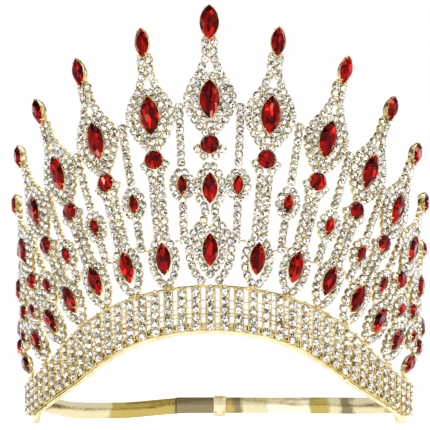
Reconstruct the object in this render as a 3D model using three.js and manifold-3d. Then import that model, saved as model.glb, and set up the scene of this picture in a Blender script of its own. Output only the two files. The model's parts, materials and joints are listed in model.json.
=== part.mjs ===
// A full-round pageant crown in gilt cup-chain and red glass stones, in millimetres, +Z up.
// The front wall is a soldered lattice wrapped on a slightly flared cylinder: fifteen spires fan out
// from an arched rhinestone band. A plain spring band closes the ring behind, in two halves that lap.
// Flat pattern coordinates: u runs round the wall, v is height, w is depth out of the wall.
import * as THREE from "three";
import { mergeVertices } from "three/addons/utils/BufferGeometryUtils.js";
import Module from "manifold-3d";

const wasm = await Module();
wasm.setup();

// Wall
const wallRadius = 80;
const wallFlare = 0.03;
const degree = Math.PI / 180;
const wallLean = 2.49 * degree;
const wallDrop = 0.85;
const gap = 0.35;
const arcSteps = 5;

// Arch of the base band, measured along its top rail
const archTop = 56;
const archRadius = 102;
const archTurn = 35 * degree;
const slopeLength = 9.8;
const footRadius = 85;
const bandEnd = 109.2;
const bandWidth = 16.6;
const bandEndWidth = 12.8;
const narrowingStart = 42;
const narrowingEnd = 92;
const columnPitch = 5.15;

// Cup-chain
const chainWidth = 2.6;
const frameBack = -1.2;
const frameFront = 1.3;
const wireWidth = 0.9;

// Spires
const spiresPerSide = 7;
const firstFootRun = 17;
const footSpacing = 14.6;
const footRise = 11;
const endFootRise = 6.5;
const firstLean = 5 * degree;
const leanStep = 9.6 * degree;
const topReach = 80.3;
const reachStep = 3.8;
const leafBelowTop = 27.1;
const roundBelowLeaf = 16.5;
const centreFoot = 69;
const centreMidReach = 22.7;
const centreRoundReach = 38.7;
const centreLeafReach = 55.4;
const centreTopReach = 83.6;

// Half sizes of the stones and of the frames round them: width, then length
const leafStone = [3.7, 7.2];
const leafFrame = [9, 11.5];
const topStone = [2.75, 5.6];
const centreTopStone = [3.55, 6.45];
const lowStone = [2.9, 6.1];
const lowFrame = [5.5, 8.9];
const centreLowFrame = [8.4, 11.4];
const midStone = [2.8, 5.75];
const midFrame = [5.4, 8.4];
const smallStone = [1.85, 3.7];
const smallFrame = [4.2, 6.1];
const roundStone = 3.5;
const stoneRise = 2;
const wingReach = 4;

// Links between neighbouring spires
const linkFootShare = 0.54;
const linkFootRise = 5;
const linkReach = 20.6;
const linkReachStep = 3.3;
const linkShortest = 6.8;

// Arched strip behind the band, with a foot at each end
const stripBack = -2.4;
const stripFront = -1.55;
const stripShow = 1.3;
const stripTuck = 3;
const stripEnd = 118.5;
const footTop = 7;
const footTopRuns = [87, 107.5];
const footSoleRuns = [91.5, 103.5];

// Spring band at the back
const springHinge = 76.4;
const springThick = 0.8;
const springHeight = 7.2;
const springSideBottom = 3.9;
const springBackBottom = 2.6;
const springSagBottom = 0.4;
const springButt = 0.25 * degree;
const sideBandTurn = 24 * degree;
const leftReach = 90.5 * degree;
const rightReach = 108 * degree;
const slideGap = 0.4;
const keeperTurn = 3 * degree;
const keeperSize = [6, 3.9, 9.8];
const keeperBottom = 1.1;

const forwardAxis = new THREE.Vector3(1, 0, 0);
const gold = new THREE.MeshStandardMaterial({ color: 0xd9bd7a, roughness: 0.22, metalness: 1 });
const crystal = new THREE.MeshStandardMaterial({ color: 0xe6e4dc, roughness: 0.1, metalness: 0.6 });
const ruby = new THREE.MeshStandardMaterial({ color: 0x8e0b12, roughness: 0.08, metalness: 0.2 });

// A three.js geometry as a closed solid.
function solidOf(geometry) {
  const bare = geometry.clone();
  bare.deleteAttribute("normal");
  bare.deleteAttribute("uv");
  const merged = mergeVertices(bare, 1e-4);
  return new wasm.Manifold(
    new wasm.Mesh({
      numProp: 3,
      vertProperties: merged.attributes.position.array,
      triVerts: new Uint32Array(merged.index.array),
    }),
  );
}

// Closed geometries joined into one solid.
function joined(geometries) {
  return geometries.map(solidOf).reduce((whole, piece) => whole.add(piece));
}

// A solid back as a geometry.
function geometryOf(solid) {
  const mesh = solid.getMesh();
  const geometry = new THREE.BufferGeometry();
  geometry.setAttribute("position", new THREE.BufferAttribute(mesh.vertProperties, 3));
  geometry.setIndex(new THREE.BufferAttribute(mesh.triVerts, 1));
  return geometry;
}

// Moves each vertex of a geometry by a function of its place.
function bent(geometry, place) {
  const position = geometry.attributes.position;
  for (let i = 0; i < position.count; i += 1) {
    const spot = place(position.getX(i), position.getY(i), position.getZ(i));
    position.setXYZ(i, spot.x, spot.y, spot.z);
  }
  return geometry;
}

// Flat pattern to the crown's wall, which leans a little forward as the crown stands.
function wrapped(u, v, w) {
  const turn = u / wallRadius;
  const radius = wallRadius + wallFlare * v + w;
  const spot = new THREE.Vector3(radius * Math.sin(turn), -radius * Math.cos(turn), v);
  spot.applyAxisAngle(forwardAxis, wallLean);
  spot.z -= wallDrop;
  return spot;
}

// The point at a distance along the arch from its crown, a height above its top rail.
function archPoint(run, height) {
  const along = Math.abs(run);
  const arcRun = (archRadius + height) * archTurn;
  const slopeRun = arcRun + slopeLength;
  const footRun = slopeRun + (footRadius - height) * archTurn;
  let lean = Math.min(along / (archRadius + height), archTurn);
  let u = archRadius * Math.sin(lean);
  let v = archTop - archRadius * (1 - Math.cos(lean));
  const down = THREE.MathUtils.clamp(along - arcRun, 0, slopeLength);
  u += down * Math.cos(archTurn);
  v -= down * Math.sin(archTurn);
  if (along > slopeRun) {
    lean = archTurn - Math.min(along - slopeRun, footRun - slopeRun) / (footRadius - height);
    u += footRadius * (Math.sin(archTurn) - Math.sin(lean)) + Math.max(along - footRun, 0);
    v -= footRadius * (Math.cos(lean) - Math.cos(archTurn));
  }
  const side = Math.sign(run) || 1;
  return {
    u: side * (u + height * Math.sin(lean)),
    v: v + height * Math.cos(lean),
    lean: side * lean,
  };
}

// How tall the stone band is, from its top rail down, at a run along the arch.
function bandDepth(run) {
  const share = THREE.MathUtils.smoothstep(Math.abs(run), narrowingStart, narrowingEnd);
  return THREE.MathUtils.lerp(bandWidth, bandEndWidth, share);
}

// A pointed oval of two equal arcs.
function marquise([halfWidth, halfLength]) {
  const radius = (halfWidth ** 2 + halfLength ** 2) / (2 * halfWidth);
  const half = Math.asin(halfLength / radius);
  const points = [];
  for (const side of [1, -1]) {
    for (let i = 0; i < arcSteps; i += 1) {
      const turn = THREE.MathUtils.lerp(-half, half, i / arcSteps);
      const u = radius * Math.cos(turn) - radius + halfWidth;
      points.push(new THREE.Vector2(side * u, side * radius * Math.sin(turn)));
    }
  }
  return new THREE.Shape(points);
}

// A marquise plate between two depths, with or without a hole.
function plate(outer, back, front, hole) {
  const shape = marquise(outer);
  if (hole) shape.holes.push(marquise(hole));
  const geometry = new THREE.ExtrudeGeometry(shape, {
    depth: front - back,
    bevelEnabled: false,
  });
  return geometry.translate(0, 0, back);
}

// A cut stone: chamfered to its table in front and to its pavilion behind.
function cutStone(outline, size, girdle) {
  const chamfer = 0.42 * size;
  return new THREE.ExtrudeGeometry(outline, {
    depth: 0.3,
    bevelSize: chamfer,
    bevelOffset: -chamfer,
    bevelThickness: 1.3,
    bevelSegments: 1,
    curveSegments: 6,
  }).translate(0, 0, girdle);
}

function marquiseStone(half, girdle) {
  return cutStone(marquise(half), half[0], girdle);
}

// A stone set in a frame, standing on its face: eight sides drawn in to the table.
function setStone(halfWidth, halfLength) {
  const table = 0.6;
  const height = frameFront - frameBack + stoneRise - 0.4;
  return new THREE.CylinderGeometry(table, 1, height, 8)
    .rotateX(Math.PI / 2)
    .translate(0, 0, frameBack + 0.2 + height / 2)
    .scale(halfWidth, halfLength, 1);
}

// A straight run of chain between two flat points.
function bar(from, to, width, back = frameBack, front = frameFront) {
  const length = Math.hypot(to[0] - from[0], to[1] - from[1]);
  return new THREE.BoxGeometry(width, length, front - back)
    .rotateZ(Math.atan2(to[1] - from[1], to[0] - from[0]) - Math.PI / 2)
    .translate((from[0] + to[0]) / 2, (from[1] + to[1]) / 2, (front + back) / 2);
}

// Where a spire stands in the flat pattern: its foot stone, its lean and how far up each stone is.
function spireAt(index, side) {
  if (index === 0) {
    return {
      foot: [0, centreFoot],
      lean: 0,
      mid: centreMidReach,
      round: centreRoundReach,
      leaf: centreLeafReach,
      top: centreTopReach,
    };
  }
  const last = index === spiresPerSide;
  const run = firstFootRun + footSpacing * (index - 1);
  const rise = last ? endFootRise : footRise;
  const rowPoint = archPoint(side * run, footRise);
  const foot = {
    u: rowPoint.u - (footRise - rise) * Math.sin(rowPoint.lean),
    v: rowPoint.v - (footRise - rise) * Math.cos(rowPoint.lean),
  };
  const top = topReach - reachStep * (index - 1);
  return {
    foot: [foot.u, foot.v],
    normal: rowPoint.lean,
    rise,
    lean: side * (firstLean + leanStep * (index - 1)),
    round: top - leafBelowTop - roundBelowLeaf,
    leaf: top - leafBelowTop,
    top,
  };
}

// A point up a spire from its foot.
function up(spire, reach, across = 0) {
  return [
    spire.foot[0] + reach * Math.sin(spire.lean) + across * Math.cos(spire.lean),
    spire.foot[1] + reach * Math.cos(spire.lean) - across * Math.sin(spire.lean),
  ];
}

// A geometry made upright about the origin, stood on a spire.
function stood(geometry, spire, reach) {
  const [u, v] = up(spire, reach);
  return geometry.rotateZ(-spire.lean).translate(u, v, 0);
}

// Neck, leaf frame, round stone and its wings: the part that every spire has.
function spireHead(spire, topHalf) {
  const leafHole = [leafStone[0] + gap, leafStone[1] + gap];
  const neckFoot = spire.leaf + leafFrame[1] - 1.5;
  const wingRoot = up(spire, spire.round - 6.3);
  return [
    stood(plate(leafFrame, frameBack, frameFront, leafHole), spire, spire.leaf),
    bar(up(spire, neckFoot), up(spire, spire.top - topHalf[1]), 2 * chainWidth),
    stood(plate([topHalf[0] + 0.5, topHalf[1] + 0.6], frameBack, 0, null), spire, spire.top),
    stood(setStone(roundStone, roundStone), spire, spire.round),
    bar(up(spire, spire.round - roundStone), up(spire, spire.leaf - leafFrame[1] + 1), chainWidth),
    bar(wingRoot, up(spire, spire.round - 1.4, -wingReach), chainWidth),
    bar(wingRoot, up(spire, spire.round - 1.4, wingReach), chainWidth),
  ];
}

// The single line of chain and the small framed stone that hang between a spire and the one inside it.
function link(index, side) {
  const outer = spireAt(index, side);
  const inner = spireAt(index - 1, side);
  const outerLeaf = up(outer, outer.leaf);
  const innerLeaf = up(inner, inner.leaf);
  const hook = [(outerLeaf[0] + innerLeaf[0]) / 2, (outerLeaf[1] + innerLeaf[1]) / 2];
  const middleLean = (outer.lean + inner.lean) / 2;
  const foot = [
    THREE.MathUtils.lerp(inner.foot[0], outer.foot[0], linkFootShare) + linkFootRise * Math.sin(middleLean),
    THREE.MathUtils.lerp(inner.foot[1], outer.foot[1], linkFootShare) + linkFootRise * Math.cos(middleLean),
  ];
  const line = { foot, lean: Math.atan2(hook[0] - foot[0], hook[1] - foot[1]) };
  const reach = Math.max(linkReach - linkReachStep * (index - 1), linkShortest);
  const span = Math.hypot(outerLeaf[0] - innerLeaf[0], outerLeaf[1] - innerLeaf[1]);
  const share = (leafFrame[0] + gap) / span;
  const hookEnd = [
    THREE.MathUtils.lerp(innerLeaf[0], outerLeaf[0], share),
    THREE.MathUtils.lerp(innerLeaf[1], outerLeaf[1], share),
  ];
  const hookRoot = [
    THREE.MathUtils.lerp(outerLeaf[0], innerLeaf[0], (leafFrame[0] - 1) / span),
    THREE.MathUtils.lerp(outerLeaf[1], innerLeaf[1], (leafFrame[0] - 1) / span),
  ];
  return [
    bar(hookRoot, hookEnd, chainWidth),
    bar(hook, up(line, reach), chainWidth - 0.4),
    bar(up(line, reach), foot, chainWidth - 0.4),
    stood(plate(smallFrame, frameBack, frameFront, null), line, reach),
    stood(setStone(...smallStone), line, reach),
  ];
}

function sideSpire(index, side) {
  const spire = spireAt(index, side);
  const last = index === spiresPerSide;
  const lowPlate = last ? lowStone.map((half) => half + gap) : lowFrame;
  const pieces = [
    ...spireHead(spire, topStone),
    stood(setStone(...lowStone), spire, 0),
    stood(plate(lowPlate, frameBack, frameFront, null), spire, 0),
    bar(up(spire, 0), up(spire, spire.round - 5.5), 2 * chainWidth),
    bar(
      spire.foot,
      [
        spire.foot[0] - (spire.rise - gap) * Math.sin(spire.normal),
        spire.foot[1] - (spire.rise - gap) * Math.cos(spire.normal),
      ],
      2 * chainWidth,
    ),
    ...link(index, side),
  ];
  return joined(pieces);
}

function centreSpire() {
  const spire = spireAt(0, 1);
  const midHole = [midStone[0] + gap, midStone[1] + gap];
  const lowHole = [lowStone[0] + gap, lowStone[1] + gap];
  return joined([
    ...spireHead(spire, centreTopStone),
    stood(plate(midFrame, frameBack, frameFront, midHole), spire, spire.mid),
    bar(up(spire, spire.mid + midFrame[1] - 1.5), up(spire, spire.round - 5.5), 2 * chainWidth),
    bar(up(spire, spire.mid - midFrame[1] + 1.5), up(spire, centreLowFrame[1] - 2), 2 * chainWidth),
    stood(plate(centreLowFrame, frameBack, frameFront, lowHole), spire, 0),
    bar([-3.4, centreFoot - 8], [-3.4, archTop + gap - 0.1], chainWidth),
    bar([3.4, centreFoot - 8], [3.4, archTop + gap - 0.1], chainWidth),
  ]);
}

// A ribbon that follows the arch between two runs, from one height to another.
function ribbon(start, end, lower, upper, back, front, steps) {
  const box = new THREE.BoxGeometry(1, 1, 1, steps, 1, 1);
  return bent(box, (x, y, z) => {
    const run = THREE.MathUtils.lerp(start, end, x + 0.5);
    const height = THREE.MathUtils.lerp(lower(run), upper(run), y + 0.5);
    const point = archPoint(run, height);
    return wrapped(point.u, point.v, THREE.MathUtils.lerp(back, front, z + 0.5));
  });
}

// The stone band: columns of chain across the arch, tied by rails and two wires.
function baseBand() {
  const steps = 30;
  const line = (share, width) =>
    ribbon(
      -bandEnd,
      bandEnd,
      (run) => -share * bandDepth(run) - width,
      (run) => -share * bandDepth(run),
      frameBack,
      frameBack + 1,
      steps,
    );
  const columns = [];
  const count = Math.floor(bandEnd / columnPitch);
  for (let i = -count; i <= count; i += 1) {
    const run = i * columnPitch;
    const head = archPoint(run, -0.4);
    const foot = archPoint(run, 0.2 - bandDepth(run));
    const column = bar([head.u, head.v], [foot.u, foot.v], chainWidth);
    columns.push(bent(column, wrapped));
  }
  return joined([line(0, wireWidth), line(0.55, wireWidth), ...columns]);
}

// The polished strip behind the band's lower edge.
function stripRibbon() {
  const lower = (run) => -bandDepth(run) - stripShow;
  const upper = (run) => -bandDepth(run) + stripTuck;
  return ribbon(-stripEnd, stripEnd, lower, upper, stripBack, stripFront, 42);
}

// The foot at one end of the strip: it narrows downwards and is cut off level where the crown stands.
function stripFoot(side) {
  const box = new THREE.BoxGeometry(1, 1, 1, 2, 1, 1);
  return bent(box, (x, y, z) => {
    const runs = y < 0 ? footSoleRuns : footTopRuns;
    const u = side * THREE.MathUtils.lerp(...runs, side * x + 0.5);
    const spot = wrapped(u, footTop, THREE.MathUtils.lerp(stripBack + 0.1, stripFront - 0.1, z + 0.5));
    spot.z = y < 0 ? 0 : spot.z;
    return spot;
  });
}

// A length of the spring band, an arc about the middle of the ring between two turns.
function springArc(side, radius, start, end, bottomAt, steps) {
  const box = new THREE.BoxGeometry(1, 1, 1, steps, 1, 1);
  return bent(box, (x, y, z) => {
    const turn = THREE.MathUtils.lerp(start, end, side * x + 0.5);
    const ring = radius + z * springThick;
    return new THREE.Vector3(
      side * ring * Math.cos(turn),
      ring * Math.sin(turn),
      bottomAt(turn) + (y + 0.5) * springHeight,
    );
  });
}

// The left half sags nearly to the table between the side and the back.
function leftBottom(turn) {
  const sag = THREE.MathUtils.smoothstep(turn, 5 * degree, 38 * degree);
  const rise = THREE.MathUtils.smoothstep(turn, 58 * degree, 85 * degree);
  const low = THREE.MathUtils.lerp(springSideBottom, springSagBottom, sag);
  return THREE.MathUtils.lerp(low, springBackBottom, rise);
}

// The right half comes down evenly to its height at the back.
function rightBottom(turn) {
  const share = THREE.MathUtils.smoothstep(turn, 0, 40 * degree);
  return THREE.MathUtils.lerp(springSideBottom, springBackBottom, share);
}

// The sleeve that holds the two laps together.
function keeper(outerRadius, innerRadius) {
  const slotDepth = outerRadius - innerRadius + springThick + 2 * slideGap;
  const slotHeight = springHeight + 2 * gap;
  const sleeve = new THREE.BoxGeometry(...keeperSize);
  sleeve.translate(0, 0, keeperBottom + keeperSize[2] / 2);
  const slot = new THREE.BoxGeometry(2 * keeperSize[0], slotDepth, slotHeight);
  slot.translate(0, 0, springBackBottom + springHeight / 2);
  const solid = solidOf(sleeve).subtract(solidOf(slot));
  return geometryOf(solid)
    .translate(0, (outerRadius + innerRadius) / 2, 0)
    .rotateZ(keeperTurn);
}

function part(name, geometry, material) {
  const mesh = new THREE.Mesh(geometry, material);
  mesh.name = name;
  return mesh;
}

const crown = new THREE.Group();
crown.add(part("base_band", geometryOf(baseBand()), crystal));
const strip = joined([stripRibbon(), stripFoot(-1), stripFoot(1)]);
crown.add(part("arched_strip", geometryOf(strip), gold));

const sides = [
  { side: -1, name: "left" },
  { side: 1, name: "right" },
];

// Adds a spire's stone in front of its frame.
function addStone(name, spire, reach, half, girdle) {
  const stone = stood(marquiseStone(half, girdle), spire, reach);
  crown.add(part(name, bent(stone, wrapped), ruby));
}

const centre = spireAt(0, 1);
crown.add(part("frame_center", bent(geometryOf(centreSpire()), wrapped), crystal));
addStone("top_stone_center", centre, centre.top, centreTopStone, 1.7);
addStone("leaf_stone_center", centre, centre.leaf, leafStone, 0.9);
addStone("mid_stone_center", centre, centre.mid, midStone, 0.9);
addStone("low_stone_center", centre, 0, lowStone, 0.9);
for (const { side, name } of sides) {
  for (let index = 1; index <= spiresPerSide; index += 1) {
    const spire = spireAt(index, side);
    const tag = name + "_" + index;
    crown.add(part("frame_" + tag, bent(geometryOf(sideSpire(index, side)), wrapped), crystal));
    addStone("top_stone_" + tag, spire, spire.top, topStone, 1.7);
    addStone("leaf_stone_" + tag, spire, spire.leaf, leafStone, 0.9);
  }
}

const outerSpring = springHinge + (springThick + slideGap) / 2;
const innerSpring = springHinge - (springThick + slideGap) / 2;
const springs = [
  { side: -1, name: "left", radius: outerSpring, reach: leftReach, bottomAt: leftBottom },
  { side: 1, name: "right", radius: innerSpring, reach: rightReach, bottomAt: rightBottom },
];
for (const { side, name, radius, reach, bottomAt } of springs) {
  const fixed = springArc(side, radius, -sideBandTurn, -springButt, bottomAt, 7);
  const sprung = springArc(side, radius, springButt, reach, bottomAt, 28);
  crown.add(part("side_band_" + name, fixed, gold));
  crown.add(part("back_band_" + name, sprung, gold));
}
crown.add(part("band_keeper", keeper(outerSpring, innerSpring), gold));

const box = new THREE.Box3().setFromObject(crown);
crown.position.y = -box.getCenter(new THREE.Vector3()).y;

export default crown;
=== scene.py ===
# A full-round pageant crown in gilt cup-chain and red glass stones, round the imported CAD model.
# Pattern coordinates are millimetres: u round the wall, v height, w depth out of the wall.
import json
import math
import random
from typing import NamedTuple

import bmesh
import bpy
import numpy as np
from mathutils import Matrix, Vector


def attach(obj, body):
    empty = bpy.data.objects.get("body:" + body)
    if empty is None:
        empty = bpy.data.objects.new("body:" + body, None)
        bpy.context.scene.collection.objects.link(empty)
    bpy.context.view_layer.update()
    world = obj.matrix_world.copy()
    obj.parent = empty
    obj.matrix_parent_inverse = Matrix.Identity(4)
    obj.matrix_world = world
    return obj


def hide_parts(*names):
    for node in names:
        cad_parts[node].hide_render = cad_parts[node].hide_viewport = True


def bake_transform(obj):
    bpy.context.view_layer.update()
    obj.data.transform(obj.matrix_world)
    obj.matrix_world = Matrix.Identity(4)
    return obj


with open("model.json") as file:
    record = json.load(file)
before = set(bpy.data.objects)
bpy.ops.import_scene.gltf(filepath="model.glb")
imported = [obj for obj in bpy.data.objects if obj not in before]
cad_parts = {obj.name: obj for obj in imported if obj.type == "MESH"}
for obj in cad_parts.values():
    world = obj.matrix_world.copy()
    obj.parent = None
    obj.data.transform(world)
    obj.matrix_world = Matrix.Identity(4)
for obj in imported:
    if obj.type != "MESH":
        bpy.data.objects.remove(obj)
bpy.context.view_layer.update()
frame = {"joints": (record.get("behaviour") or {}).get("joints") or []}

MM = 0.001
RNG = random.Random(7)

# The wall and the arch of the base band, as in the CAD model
AXIS_Y = frame["joints"][0]["pos_m"][1] / MM
WALL_RADIUS = 80.0
WALL_FLARE = 0.03
WALL_LEAN = math.radians(2.49)
WALL_DROP = 0.85
ARCH_TOP = 56.0
ARCH_RADIUS = 102.0
ARCH_TURN = math.radians(35)
SLOPE_LENGTH = 9.8
FOOT_RADIUS = 85.0
BAND_END = 109.2
BAND_WIDTH = 16.6
BAND_END_WIDTH = 12.8
NARROWING = (42.0, 92.0)
COLUMN_PITCH = 5.15

# Spires
SPIRES_PER_SIDE = 7
FIRST_FOOT_RUN = 17.0
FOOT_SPACING = 14.6
FOOT_RISE = 11.0
END_FOOT_RISE = 6.5
FIRST_LEAN = math.radians(5)
LEAN_STEP = math.radians(9.6)
TOP_REACH = 80.3
REACH_STEP = 3.8
LEAF_BELOW_TOP = 27.1
ROUND_BELOW_LEAF = 16.5
CENTRE = {"foot": (0.0, 69.0), "lean": 0.0, "mid": 22.7, "round": 38.7, "leaf": 55.4, "top": 83.6}
LINK_FOOT_SHARE = 0.54
LINK_FOOT_RISE = 5.0
LINK_REACH = 20.6
LINK_REACH_STEP = 3.3
LINK_SHORTEST = 6.8

# Where claws stand round a stone, as shares of its outline from the lower tip
PAIRED_CLAWS = (0.075, 0.425, 0.575, 0.925)
WIDE_CLAWS = (0.1, 0.4, 0.6, 0.9)
ROUND_CLAWS = (0.06, 0.25, 0.44, 0.56, 0.75, 0.94)


class Stone(NamedTuple):
    """A red stone: half width and length, girdle over the wall, crown, collet depth, folds, claws."""

    half: tuple
    girdle: float
    crown: float
    depth: float
    folds: int = 8
    claws: tuple = PAIRED_CLAWS


LEAF_STONE = Stone((3.8, 7.3), 1.0, 1.45, 2.0)
TOP_STONE = Stone((2.75, 5.6), 1.75, 1.5, 2.9)
CENTRE_TOP_STONE = Stone((3.55, 6.45), 1.75, 1.5, 2.9)
LOW_STONE = Stone((2.9, 6.1), 1.1, 1.4, 2.1)
CENTRE_LOW_STONE = Stone((2.9, 6.1), 1.0, 1.4, 2.0)
MID_STONE = Stone((2.8, 5.75), 1.0, 1.4, 2.0)
SMALL_STONE = Stone((1.85, 3.7), 0.95, 1.2, 1.7, 6, WIDE_CLAWS)
ROUND_STONE = Stone((3.5, 3.5), 1.15, 1.5, 2.1, 8, ROUND_CLAWS)
TABLE_SHARE = 0.58
CULET_SHARE = 0.6

# Cup-chain: pitch, stone radius, heights over the wall, and how unevenly hands set it
PITCH = 3.05
CRYSTAL = 1.4
CRYSTAL_CROWN = 0.58
CRYSTAL_DEPTH = 0.7
GIRDLE = 0.62
RAIL = 0.45
LINK_WIRE = 0.42
LINK_WIRE_DEPTH = -1.35
SET_WANDER = 0.05
CRYSTAL_TILT = 0.035
STONE_TILT = 0.02

# Rings of chain round the stones: half width and half length of the chain's middle line
LEAF_OUTER = (8.1, 13.4)
LEAF_INNER = (5.1, 9.5)
LEAF_TIP = -12.3
NECK_HALF = 1.5
NECK_SPREAD = 1.35
NECK_JOIN = (11.0, 15.5)
LOW_RING_UPPER = (4.45, 8.8)
LOW_RING_LOWER = (4.45, 10.2)
LOW_RING_END = -9.0
STEM_HALF = 1.5
SMALL_RING = (3.25, 5.45)
SMALL_RING_REACH = 8.3
MID_RING = (4.4, 8.9)
CENTRE_LOW_INNER = (4.5, 8.9)
CENTRE_LOW_UPPER = (7.5, 11.6)
CENTRE_LOW_LOWER = (7.5, 13.6)
CENTRE_LOW_ENDS = (13.9, -11.2)
CENTRE_POST = 3.5
PATH_STEP = 0.25

# Wires: radius, and height of their middle over the wall
HEAVY_WIRE = (0.8, -0.5)
FOOT_WIRE = (0.75, -0.5)
JOINT_WIRE = (0.55, -0.6)
FINE_WIRE = (0.32, -0.5)
COLUMN_WIRE = (0.24, 0.1)

# Links between spires: from a leaf's middle to its edge, and the span that takes a run of chain
LEAF_EDGE = 9.7
CHAIN_SPAN = 21.5

# Columns of the base band
COLUMN_TOP = 0.95
COLUMN_SIDE = 1.62
COLUMN_FULL_SIZE = 2.9
BEAD_PITCH = 1.5
BEAD_RUNS = (14.0, 40.0)
CROSS_WIRES = ((0.33, 0.2), (0.5, 0.18), (0.61, 0.3), (0.69, 0.26), (0.93, 0.3))

# Strip, spring band and keeper; a foot's runs are measured round the wall
STRIP_BACK = -2.4
STRIP_FRONT = -1.55
STRIP_SHOW = 1.3
STRIP_TUCK = 3.0
STRIP_END = 118.5
STRIP_CORNER = 0.3
FOOT_TOP_RUNS = (87.0, 107.5)
FOOT_SOLE_RUNS = (91.5, 103.5)
SPRING_HINGE = frame["joints"][0]["pos_m"][0] / MM
SPRING_THICK = 0.8
SPRING_CORNER = 0.28
SPRING_HEIGHT = 7.2
SPRING_SIDE_BOTTOM = 3.9
SPRING_BACK_BOTTOM = 2.6
SPRING_SAG_BOTTOM = 0.4
SAG_TURNS = (math.radians(5), math.radians(38))
LIFT_TURNS = (math.radians(50), math.radians(79))
SPRING_START = math.radians(-24)
LEFT_REACH = math.radians(90.5)
RIGHT_REACH = math.radians(108)
SLIDE_GAP = 0.4
KEEPER_TURN = math.radians(3)
KEEPER_SIZE = (6.0, 3.9, 9.8)
KEEPER_BOTTOM = 1.1
KEEPER_SKEW = math.radians(4)
KEEPER_LUMPS = ((-1.9, -3.4, -1, 1.0), (1.7, 3.3, -1, 1.15), (2.1, -3.2, -1, 0.8), (0.2, 3.6, 1, 1.0))


def clamp(value, low, high):
    return min(max(value, low), high)


def smooth(value, low, high):
    share = clamp((value - low) / (high - low), 0.0, 1.0)
    return share * share * (3 - 2 * share)


def lerp(a, b, share):
    return a + (b - a) * share


# ---- the flat pattern ----


def arch_point(run, height):
    """Place and lean at a distance along the arch, a height above its top rail."""
    along = abs(run)
    arc_run = (ARCH_RADIUS + height) * ARCH_TURN
    slope_run = arc_run + SLOPE_LENGTH
    foot_run = slope_run + (FOOT_RADIUS - height) * ARCH_TURN
    lean = min(along / (ARCH_RADIUS + height), ARCH_TURN)
    down = clamp(along - arc_run, 0, SLOPE_LENGTH)
    u = ARCH_RADIUS * math.sin(lean) + down * math.cos(ARCH_TURN)
    v = ARCH_TOP - ARCH_RADIUS * (1 - math.cos(lean)) - down * math.sin(ARCH_TURN)
    if along > slope_run:
        lean = ARCH_TURN - min(along - slope_run, foot_run - slope_run) / (FOOT_RADIUS - height)
        u += FOOT_RADIUS * (math.sin(ARCH_TURN) - math.sin(lean)) + max(along - foot_run, 0)
        v -= FOOT_RADIUS * (math.cos(lean) - math.cos(ARCH_TURN))
    side = -1 if run < 0 else 1
    return side * (u + height * math.sin(lean)), v + height * math.cos(lean), side * lean


def band_depth(run):
    return lerp(BAND_WIDTH, BAND_END_WIDTH, smooth(abs(run), *NARROWING))


LEAN = np.array(
    [
        [1.0, 0.0, 0.0],
        [0.0, math.cos(WALL_LEAN), math.sin(WALL_LEAN)],
        [0.0, -math.sin(WALL_LEAN), math.cos(WALL_LEAN)],
    ]
)


def wrapped(u, v, w):
    """A pattern point on the crown's wall, which leans a little forward, in millimetres."""
    turn = u / WALL_RADIUS
    radius = WALL_RADIUS + WALL_FLARE * v + w
    spot = np.array([radius * math.sin(turn), -radius * math.cos(turn), v])
    return spot @ LEAN + np.array([0.0, AXIS_Y, -WALL_DROP])


def seat(u, v, w, heading=0.0):
    """Axes and origin of a part on the wall: x across its heading, y along it, z out of the wall."""
    turn = u / WALL_RADIUS
    right = np.array([math.cos(turn), math.sin(turn), 0.0])
    rise = np.array([WALL_FLARE * math.sin(turn), -WALL_FLARE * math.cos(turn), 1.0])
    rise /= np.linalg.norm(rise)
    out = np.cross(right, rise)
    across = right * math.cos(heading) - rise * math.sin(heading)
    along = right * math.sin(heading) + rise * math.cos(heading)
    return np.array([across, along, out]) @ LEAN, wrapped(u, v, w)


def spire_at(index, side):
    """A spire's foot and lean in the pattern, and the reach of each of its stones from the foot."""
    if index == 0:
        return dict(CENTRE)
    row_u, row_v, normal = arch_point(side * (FIRST_FOOT_RUN + FOOT_SPACING * (index - 1)), FOOT_RISE)
    rise = END_FOOT_RISE if index == SPIRES_PER_SIDE else FOOT_RISE
    lower = FOOT_RISE - rise
    top = TOP_REACH - REACH_STEP * (index - 1)
    return {
        "foot": (row_u - lower * math.sin(normal), row_v - lower * math.cos(normal)),
        "normal": normal,
        "rise": rise,
        "lean": side * (FIRST_LEAN + LEAN_STEP * (index - 1)),
        "round": top - LEAF_BELOW_TOP - ROUND_BELOW_LEAF,
        "leaf": top - LEAF_BELOW_TOP,
        "top": top,
    }


def up(spire, reach, across=0.0):
    """A pattern point up a spire from its foot."""
    sine, cosine = math.sin(spire["lean"]), math.cos(spire["lean"])
    return (
        spire["foot"][0] + reach * sine + across * cosine,
        spire["foot"][1] + reach * cosine - across * sine,
    )


def lens(y, half_width, half_length, fullness=0.85, power=2.0):
    """Half width of a pointed oval at a height from its middle."""
    return half_width * max(0.0, 1 - (abs(y) / half_length) ** power) ** fullness


# ---- mesh making ----


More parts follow.
